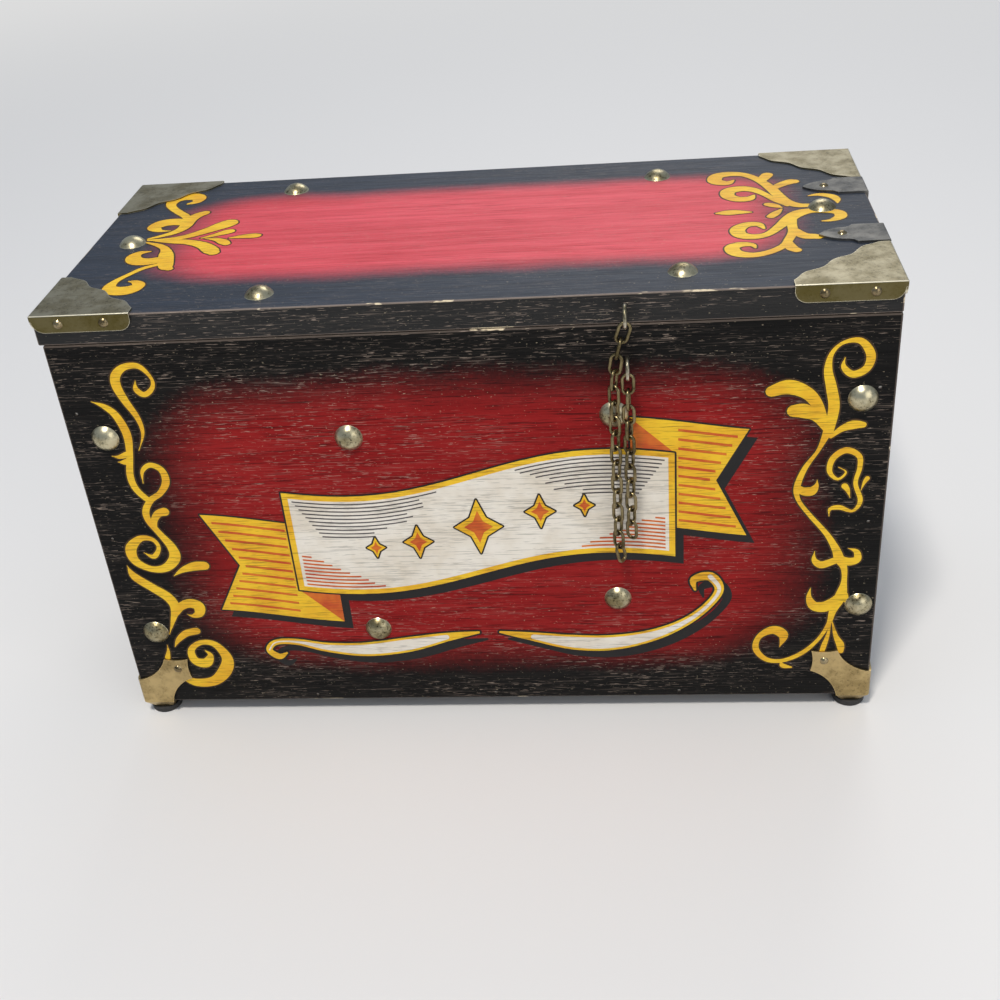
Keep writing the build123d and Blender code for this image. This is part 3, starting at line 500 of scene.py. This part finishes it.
# Brush strokes on the lid: (along, back, width), from the lid's middle.
LID_STROKES = {
    "left_curl": [
        (-141.5, 47.7, 1.2), (-138, 50, 4.5), (-137.7, 54.5, 7), (-141, 57.3, 8.6), (-145.8, 57, 8),
        (-149.3, 53.5, 6.6), (-149.7, 48, 5), (-147, 42.3, 4), (-142, 36, 4), (-137.8, 31, 4),
        (-135.5, 25.8, 3),
    ],
    "left_leaf": [
        (-129.5, 34.3, 5), (-132.5, 31, 6), (-134.3, 25.5, 6.5), (-134.3, 19, 6), (-135.5, 14, 5),
        (-139.5, 9, 3.6), (-147.5, 4.2, 1.4),
    ],
    "left_loop": [
        (-140, 13, 0.6), (-145, 13.7, 2.8), (-148.8, 18, 7), (-146.5, 23, 8.4), (-141, 24.3, 8),
        (-136, 23, 7),
    ],
    "left_petal_a": [
        (-147, 2.5, 1.5), (-137, 2.8, 3.4), (-129.5, 5.5, 4.6), (-122, 11.5, 6.4), (-116.5, 17, 8.6),
        (-114, 19.5, 8.4),
    ],
    "left_petal_b": [(-122.5, 2.3, 1), (-117.5, 5, 3), (-113, 8, 5), (-111, 9, 4.6)],
    "left_petal_c": [(-120.5, 1.5, 0.8), (-115, -0.2, 3.2), (-111, -3.5, 4.8), (-109, -5.8, 3.6)],
    "left_petal_d": [
        (-144, 1.8, 1.5), (-136, 0.3, 4.5), (-127, -2, 5), (-119.5, -6.5, 6), (-114.5, -12.5, 7),
        (-112.3, -15.5, 5.4),
    ],
    "left_dash": [(-109, 0.8, 1.2), (-103, 2, 4), (-98.5, 2.2, 5), (-97.2, 2.2, 4.4)],
    "left_scroll": [
        (-147, -0.2, 1), (-140.5, -4, 3), (-136, -9, 4), (-133.5, -16, 6.5), (-131.5, -23.5, 7),
        (-129.5, -29.5, 6), (-127.4, -31.8, 3.4),
    ],
    "left_scroll_loop": [
        (-142, -11, 1), (-146.3, -12.3, 4), (-148, -16.5, 6.5), (-145.5, -21.2, 7.5),
        (-140.5, -22.7, 7.2), (-134, -21, 7),
    ],
    "left_tail": [
        (-134, -26.5, 2.5), (-139.5, -30, 2.8), (-144, -36.5, 2.6), (-147.5, -43, 3.4),
        (-148, -49.5, 6), (-144, -53, 8), (-138.5, -52.5, 8.5), (-136, -48, 6), (-138.5, -44.5, 3.4),
        (-141.3, -43.7, 1),
    ],
    "right_curl_a": [
        (115.5, 43, 1), (112.3, 39.6, 4.8), (107.3, 42.5, 6.4), (108.3, 49, 6.5), (114, 51.5, 5.6),
        (120.5, 49.5, 4.4), (125.5, 43.5, 4.2), (129, 36, 4.6), (131.5, 28, 5), (133.5, 20, 5),
        (136, 12.5, 5), (140, 8, 4.6), (145, 7, 3.5),
    ],
    "right_leaf_a": [(127.5, 39, 3), (129.3, 44, 5), (131, 47.8, 5.4)],
    "right_leaf_b": [(132, 30, 3.5), (135.5, 34, 4.6), (140, 37.3, 5.4), (141.8, 37.5, 4.8)],
    "right_curl_b": [
        (122.8, 22.3, 1.2), (120.3, 18.7, 5), (115.5, 18.5, 5.6), (111.7, 22.7, 6), (112.3, 29, 6.6),
        (117.5, 31.3, 6.4), (123, 29.3, 4.8), (127.5, 23, 3.4), (131.5, 15, 3), (135.8, 8, 1.6),
    ],
    "right_dash": [(105.5, 2.6, 1.6), (109.5, 2.8, 5), (114, 2.9, 4.6), (119.8, 2.2, 1)],
    "right_bud_a": [(133, 6, 1), (130.5, 8.5, 4), (127.7, 10.5, 3.6)],
    "right_bud_b": [(132.8, 4, 1), (130.3, 0, 3.6), (127.7, -3.8, 3.8)],
    "right_scroll": [
        (123.5, -17, 1.2), (121.5, -12.2, 4), (116.5, -12.2, 5), (112.7, -17, 6.3), (113.5, -23, 6),
        (118.5, -25.6, 5), (124.5, -23.3, 3.8), (130, -15.5, 4.5), (135, -7, 6), (139.5, -1.5, 6.4),
        (145, 0.8, 5), (151, -0.2, 4.2), (155.8, -2.6, 5), (156, -7.5, 5), (152, -11, 2.6),
        (148, -11.7, 0.8),
    ],
    "right_tail": [
        (136.5, -6, 3.4), (135.3, -14, 4), (134.8, -22, 4), (132.3, -30, 3.8), (129.5, -36.5, 3.6),
        (123.5, -42.2, 3.8), (116.5, -44.7, 4.6), (110.3, -42, 6), (109, -36.3, 6), (112.5, -33.3, 4.8),
        (117, -34, 3.2), (118.2, -37.3, 1),
    ],
    "right_leaf_c": [(132, -33, 3), (132.3, -38.5, 5), (134, -41.5, 4.2)],
    "right_leaf_d": [(135.8, -20, 3.5), (138.5, -26.5, 5.4), (142.5, -28, 5), (144, -28.6, 4.4)],
    "right_crest": [
        (146, 18.5, 0.8), (150.5, 19.5, 3), (155.3, 17, 4), (157.2, 13, 3.4), (157, 8.5, 0.8),
    ],
}
STEPS = 6                # short pieces between two points of a stroke
PAINT = 0.05             # thickness of one coat
OUTLINE = 0.7            # how far the dark outline shows round a stroke
FRONT_INSET = 0.3        # how much narrower than listed the front's strokes are, on each side
THINNEST = 0.15          # a stroke's least half width
BRUSH_SIDES = 12         # of the round end of a stroke


def on_front(point, lift):
    return Vector((point[0], FACE_Y - lift, point[1])) * MM


def on_lid(point, lift):
    return Vector((point[0], point[1] + BODY_BACK, LID_TOP + lift)) * MM


def between(a, b, c, d, t):
    """A Catmull-Rom curve from b to c."""
    return tuple(
        0.5 * (2 * q + (r - p) * t + (2 * p - 5 * q + 4 * r - s) * t * t + (3 * q - p - 3 * r + s) * t**3)
        for p, q, r, s in zip(a, b, c, d)
    )


def smooth_line(points):
    """Short straight pieces along a curve through these points."""
    ends = [points[0]] + points + [points[-1]]
    line = []
    for i in range(len(points) - 1):
        line += [between(*ends[i:i + 4], step / STEPS) for step in range(STEPS)]
    return line + [points[-1]]


def disc(x, z, radius, sides=BRUSH_SIDES):
    turns = [math.tau * k / sides for k in range(sides)]
    return [(x + radius * math.cos(turn), z + radius * math.sin(turn)) for turn in turns]


def brush(stroke, grow=0.0):
    """A tapered stroke with round ends, as convex patches that overlap."""
    line = [(x, z, max(width / 2 + grow, THINNEST)) for x, z, width in smooth_line(stroke)]
    rims = []
    for i, (x, z, half) in enumerate(line):
        before, after = line[max(i - 1, 0)], line[min(i + 1, len(line) - 1)]
        dx, dz = after[0] - before[0], after[1] - before[1]
        size = math.hypot(dx, dz)
        sideways, upwards = dz / size * half, dx / size * half
        rims.append(((x - sideways, z + upwards), (x + sideways, z - upwards)))
    patches = [disc(*line[0]), disc(*line[-1])]
    for first, second in zip(rims, rims[1:]):
        corners = [*first, *second]
        hull = convex_hull_2d([Vector(corner) for corner in corners])
        patches.append([corners[k] for k in hull])
    return patches


def brushed(strokes, grow=0.0):
    return [patch for stroke in strokes for patch in brush(stroke, grow)]


def joined(loops):
    """The area that closed outlines cover together, as points and triangles."""
    points, faces = [], []
    for loop in loops:
        turned = sum(a[0] * b[1] - b[0] * a[1] for a, b in zip(loop, loop[1:] + loop[:1]))
        faces.append(list(range(len(points), len(points) + len(loop))))
        points += [Vector(point) for point in (loop if turned > 0 else loop[::-1])]
    corners, _, triangles, _, _, owners = delaunay_2d_cdt(points, [], faces, 0, 1e-4, True)
    covered = [tuple(triangle) for triangle, owner in zip(triangles, owners) if owner]
    return [tuple(corner) for corner in corners], covered


def paint(name, loops, place, coat, material, body="body"):
    """Outlines filled with one coat of paint; coat is the number of coats beneath it."""
    points, triangles = joined(loops)
    low, high = coat * PAINT, (coat + 1) * PAINT
    count = len(points)
    verts = [place(p, high) for p in points] + [place(p, low) for p in points]
    edges = {(t[i], t[(i + 1) % len(t)]) for t in triangles for i in range(len(t))}
    faces = list(triangles)
    faces += [tuple(count + k for k in reversed(t)) for t in triangles]
    faces += [(b, a, count + a, count + b) for a, b in sorted(edges) if (b, a) not in edges]
    mesh = bpy.data.meshes.new(name)
    mesh.from_pydata(verts, [], faces)
    mesh.validate()
    mesh.update()
    mesh.materials.append(material)
    piece = bpy.data.objects.new(name, mesh)
    bpy.context.scene.collection.objects.link(piece)
    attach(piece, body)


for label, table, inset, place, body, slot in (
    ("front", FRONT_STROKES, FRONT_INSET, on_front, "body", "front_paint"),
    ("lid", LID_STROKES, 0.0, on_lid, "lid", "lid_paint"),
):
    strokes = list(table.values())
    paint(label + "_scrolls_outline", brushed(strokes, OUTLINE - inset), place, 0, umber, body)
    paint(label + "_scrolls", brushed(strokes, -inset), place, 1, yellow, body)

# ------------------------------------------------------------------ a blank ribbon across the front
# Its sizes are in millimetres.
RIBBON_HALF = 26.0         # half its height
RIBBON_REACH = 84.0        # half its length between the folds
RIBBON_MIDDLE = 106.0
RIBBON_WAVE = 7.0
RIBBON_RISE = 5.0
RIBBON_STEPS = 24          # short pieces along its wave
BORDER = 2.6
RIBBON_RIM = 0.8           # the ink line round it
RIM_SIDES = 8              # of the round corners of an ink line
TAIL_TIPS = (-122.0, 114.0)
TAIL_NOTCH = 13.0
TAIL_DROPS = (-16.0, 15.0)
TAIL_HIDDEN = 18.0         # how far a tail runs on behind the band
WAYS = (-1, 1)             # towards the left tail and the right one
SHADOW = (3.6, -4.2)


def ribbon_height(x):
    t = x / RIBBON_REACH
    return RIBBON_MIDDLE + RIBBON_WAVE * math.sin(0.9 * math.pi * t) + RIBBON_RISE * t


def band(start, end, low, high, drop=0.0):
    """A stretch of the ribbon between two heights measured from its middle line."""
    xs = [start + (end - start) * i / RIBBON_STEPS for i in range(RIBBON_STEPS + 1)]
    upper = [(x, ribbon_height(x) + high + drop) for x in xs]
    lower = [(x, ribbon_height(x) + low + drop) for x in xs]
    return upper + lower[::-1]


def line_along(ends, height, half, drop=0.0):
    """A thin line that follows the ribbon's wave."""
    return band(*sorted(ends), height - half, height + half, drop)


def tail(side):
    """The part of the ribbon behind a fold, with a swallow-tail cut."""
    way, tip, drop = WAYS[side], TAIL_TIPS[side], TAIL_DROPS[side]
    root = way * (RIBBON_REACH - TAIL_HIDDEN)
    notch = tip - way * TAIL_NOTCH
    loop = band(root, tip, -RIBBON_HALF, RIBBON_HALF, drop)
    middle = len(loop) // 2
    return loop[:middle] + [(notch, ribbon_height(notch) + drop)] + loop[middle:]


def fold(side):
    """The triangle of the ribbon's back that shows where it turns behind the band."""
    way = WAYS[side]
    edge, root = way * RIBBON_REACH, way * (RIBBON_REACH - TAIL_HIDDEN)
    rim = way * RIBBON_HALF
    return [
        (edge, ribbon_height(edge) + rim),
        (root, ribbon_height(root) + rim + TAIL_DROPS[side]),
        (root, ribbon_height(root) + rim),
    ]


def segment(a, b, half):
    """A straight stroke with a round end at a."""
    dx, dz = b[0] - a[0], b[1] - a[1]
    size = math.hypot(dx, dz)
    nx, nz = -dz / size * half, dx / size * half
    box = [(a[0] + nx, a[1] + nz), (b[0] + nx, b[1] + nz), (b[0] - nx, b[1] - nz), (a[0] - nx, a[1] - nz)]
    return [box, disc(*a, half, RIM_SIDES)]


def rimmed(loops, grow):
    """Closed outlines with a rim round them."""
    rim = []
    for loop in loops:
        for a, b in zip(loop, loop[1:] + loop[:1]):
            rim += segment(a, b, grow)
    return loops + rim


def moved(loops, step):
    return [[(x + step[0], z + step[1]) for x, z in loop] for loop in loops]


# Two swashes below the ribbon: (across, up, width).
SWASHES = [
    [
        (-5, 47, 1.2), (-20, 44.5, 5), (-38, 40.5, 8.5), (-58, 38, 8), (-76, 39.5, 5.5), (-90, 43, 3.6),
        (-100, 43, 3), (-104, 38.5, 3), (-100, 34.5, 3.4), (-96, 36.5, 1),
    ],
    [
        (5, 47, 1.2), (20, 44, 5), (38, 40.5, 8.5), (56, 40, 8.5), (74, 44, 6.5), (88, 51, 4.6),
        (98, 60, 3.8), (103, 69, 4), (99, 76, 4.6), (92, 74.5, 3.4), (92.5, 69, 1),
    ],
]
SWASH_BORDER = 2.4
SWASH_RIM = 0.9
SWASH_LEAST = 0.2          # the white's least width
swash = brushed(SWASHES)
swash_face = brushed([
    [(x, z, max(width - SWASH_BORDER, SWASH_LEAST)) for x, z, width in stroke[1:-2]]
    for stroke in SWASHES
])
main_band = band(-RIBBON_REACH, RIBBON_REACH, -RIBBON_HALF, RIBBON_HALF)
face_reach, face_half = RIBBON_REACH - BORDER, RIBBON_HALF - BORDER
face_band = band(-face_reach, face_reach, -face_half, face_half)
tails = [tail(0), tail(1)]
ribbon_rim = rimmed([main_band], RIBBON_RIM) + brushed(SWASHES, SWASH_RIM)
paint("ribbon_shadow", moved(tails + [main_band] + swash, SHADOW), on_front, 0, ink)
paint("ribbon_tails_outline", rimmed(tails, RIBBON_RIM), on_front, 1, ink)
paint("ribbon_tails", tails, on_front, 2, yellow)
paint("ribbon_folds", [fold(0), fold(1)], on_front, 3, orange)
paint("ribbon_outline", ribbon_rim, on_front, 4, ink)
paint("ribbon_border", [main_band] + swash, on_front, 5, yellow)
paint("ribbon_face", [face_band] + swash_face, on_front, 6, white)

HATCH_STEP = 1.9
HATCH_GAP = 1.4            # from the border to the first line
HATCH_MARGIN = 1.5         # from the border to a line's end
GREY_ROWS = 10
GREY_HALF = 0.3
GREY_SLOPE = 1.2           # how much further in each grey line starts
GREY_STOP = (12, 22)       # between these the first grey lines end
GREY_STOP_STEP = 3.0
WARM_ROWS = 9
WARM_HALF = 0.4
WARM_LENGTH = 36.0
WARM_SLOPE = 3.6           # how much shorter each warm line is
WARM_STRAY = (0, 3)
hatch_reach = RIBBON_REACH - BORDER - HATCH_MARGIN
grey_hatch, warm_hatch = [], []
for row in range(GREY_ROWS):
    height = RIBBON_HALF - BORDER - HATCH_GAP - HATCH_STEP * row
    reach = hatch_reach - GREY_SLOPE * row
    for way in WAYS:
        stop = random.uniform(*GREY_STOP) + GREY_STOP_STEP * row
        grey_hatch.append(line_along((way * reach, way * stop), height, GREY_HALF))
for row in range(WARM_ROWS):
    height = BORDER - RIBBON_HALF + HATCH_GAP + HATCH_STEP * row
    for way in WAYS:
        stop = hatch_reach - WARM_LENGTH + WARM_SLOPE * row + random.uniform(*WARM_STRAY)
        warm_hatch.append(line_along((way * hatch_reach, way * stop), height, WARM_HALF))
paint("ribbon_hatch", grey_hatch, on_front, 7, grey)
paint("ribbon_warm_hatch", warm_hatch, on_front, 7, orange)

TAIL_ROWS = 5              # lines above the middle one, and as many below it
TAIL_LINE_STEP = 4.4
TAIL_LINE_HALF = 0.6
TAIL_LINE_START = 1.5      # from the fold
TAIL_LINE_MARGIN = 2.5     # from a line's end to the swallow-tail cut
tail_lines = []
for way, tip, drop in zip(WAYS, TAIL_TIPS, TAIL_DROPS):
    start = way * (RIBBON_REACH + TAIL_LINE_START)
    for row in range(-TAIL_ROWS, TAIL_ROWS + 1):
        height = TAIL_LINE_STEP * row
        cut = TAIL_NOTCH * (1 - abs(height) / RIBBON_HALF)
        end = tip - way * (cut + TAIL_LINE_MARGIN)
        tail_lines.append(line_along((start, end), height, TAIL_LINE_HALF, drop))
paint("ribbon_tail_lines", tail_lines, on_front, 3, orange)

# Stars along the ribbon: (across, half width, half height).
STARS = [(0, 10.5, 14.0), (-27, 6.5, 8.5), (27, 6.5, 8.5), (-46, 4.2, 5.4), (46, 4.2, 5.4)]
STAR_WAIST = 0.34          # how far out its hollow sides reach
STAR_CORE = 0.6
STAR_RIM = 0.7
STAR_DROP = 1
STAR_POINTS = ((1, 0), (0, 1), (-1, 0), (0, -1))


def star(x, half_width, half_height, share=1.0):
    """Four points with hollow sides, just below the ribbon's middle line."""
    z = ribbon_height(x) - STAR_DROP
    wide, tall = half_width * share, half_height * share
    loop = []
    for (ax, az), (bx, bz) in zip(STAR_POINTS, STAR_POINTS[1:] + STAR_POINTS[:1]):
        loop.append((x + ax * wide, z + az * tall))
        loop.append((x + (ax + bx) * wide * STAR_WAIST, z + (az + bz) * tall * STAR_WAIST))
    return loop


stars = [star(*row) for row in STARS]
paint("ribbon_stars_outline", rimmed(stars, STAR_RIM), on_front, 8, ink)
paint("ribbon_stars", stars, on_front, 9, yellow)
paint("ribbon_star_cores", [star(*row, STAR_CORE) for row in STARS], on_front, 10, orange)

# ------------------------------------------------------------------ floor, light and camera
# Away from the part and its shadow the camera sees the floor in the backdrop's colour.
SIDE = 12.0
FAR_SPAN = (0.5, 2.0)      # metres from the part's origin
look = Look("floor", 0.6)
look.set("Base Color", (0.78, 0.77, 0.76))
floor_x, floor_y = look.axes()[:2]
far = look.math("SQRT", look.math("ADD", look.times(floor_x, floor_x), look.times(floor_y, floor_y)))
rays = look.tree.nodes.new("ShaderNodeLightPath")
share = look.times(look.span(far, *FAR_SPAN), rays.outputs["Is Camera Ray"])
plain = look.tree.nodes.new("ShaderNodeEmission")
look.put(BACKDROP, plain.inputs["Color"])
surface = look.tree.nodes["Material Output"].inputs["Surface"]
for_camera(look.tree, share, look.shader.outputs[0], plain.outputs[0], surface)
look.material.cycles.emission_sampling = "NONE"
floor_mesh = bpy.data.meshes.new("floor")
floor_corners = [(-SIDE, -SIDE, 0), (SIDE, -SIDE, 0), (SIDE, SIDE, 0), (-SIDE, SIDE, 0)]
floor_mesh.from_pydata(floor_corners, [], [(0, 1, 2, 3)])
floor = bpy.data.objects.new("floor", floor_mesh)
floor_mesh.materials.append(look.material)
bpy.context.scene.collection.objects.link(floor)

# The sky lights the part, and the backdrop that the camera sees is pale and lights nothing.
world = bpy.data.worlds.new("studio")
world.use_nodes = True
tree = world.node_tree
sky = tree.nodes["Background"]
backdrop = tree.nodes.new("ShaderNodeBackground")
for background, colour, strength in ((sky, SKYLIGHT, 0.42), (backdrop, BACKDROP, 1.0)):
    background.inputs["Color"].default_value = (*colour, 1.0)
    background.inputs["Strength"].default_value = strength
rays = tree.nodes.new("ShaderNodeLightPath")
surface = tree.nodes["World Output"].inputs["Surface"]
for_camera(tree, rays.outputs["Is Camera Ray"], sky.outputs[0], backdrop.outputs[0], surface)
bpy.context.scene.world = world


def lamp(name, place, aim, power, size):
    data = bpy.data.lights.new(name, "AREA")
    data.color = LAMPLIGHT
    data.energy = power
    data.size = size
    light = bpy.data.objects.new(name, data)
    bpy.context.scene.collection.objects.link(light)
    light.location = place
    light.rotation_mode = "QUATERNION"
    light.rotation_quaternion = (Vector(aim) - Vector(place)).to_track_quat("-Z", "Y")


lamp("key", (-0.22, -0.95, 2.1), (0.0, 0.0, 0.1), 34.0, 0.3)
lamp("fill", (1.2, -1.4, 0.8), (0.0, 0.0, 0.1), 7.0, 1.2)
lamp("rim", (0.2, 1.4, 1.4), (0.0, 0.0, 0.2), 8.0, 1.0)

# The camera's place and turn were solved from the box's corners in the photograph.
CAMERA_PLACE = Vector((67.8, BODY_BACK - 542.8, 419.3)) * MM
CAMERA_RIGHT = Vector((0.99435, 0.07269, -0.0773))
CAMERA_UP = Vector((0.0254, 0.54425, 0.83854))
camera_data = bpy.data.cameras.new("camera")
camera_data.sensor_width = 36.0
camera_data.lens = 47.3
camera_data.clip_start = 0.01
camera_data.clip_end = 50.0
camera = bpy.data.objects.new("camera", camera_data)
turn = Matrix((CAMERA_RIGHT, CAMERA_UP, CAMERA_RIGHT.cross(CAMERA_UP))).transposed()
camera.matrix_world = Matrix.Translation(CAMERA_PLACE) @ turn.to_4x4()
bpy.context.scene.collection.objects.link(camera)
bpy.context.scene.camera = camera
bpy.context.scene.view_settings.view_transform = "Standard"
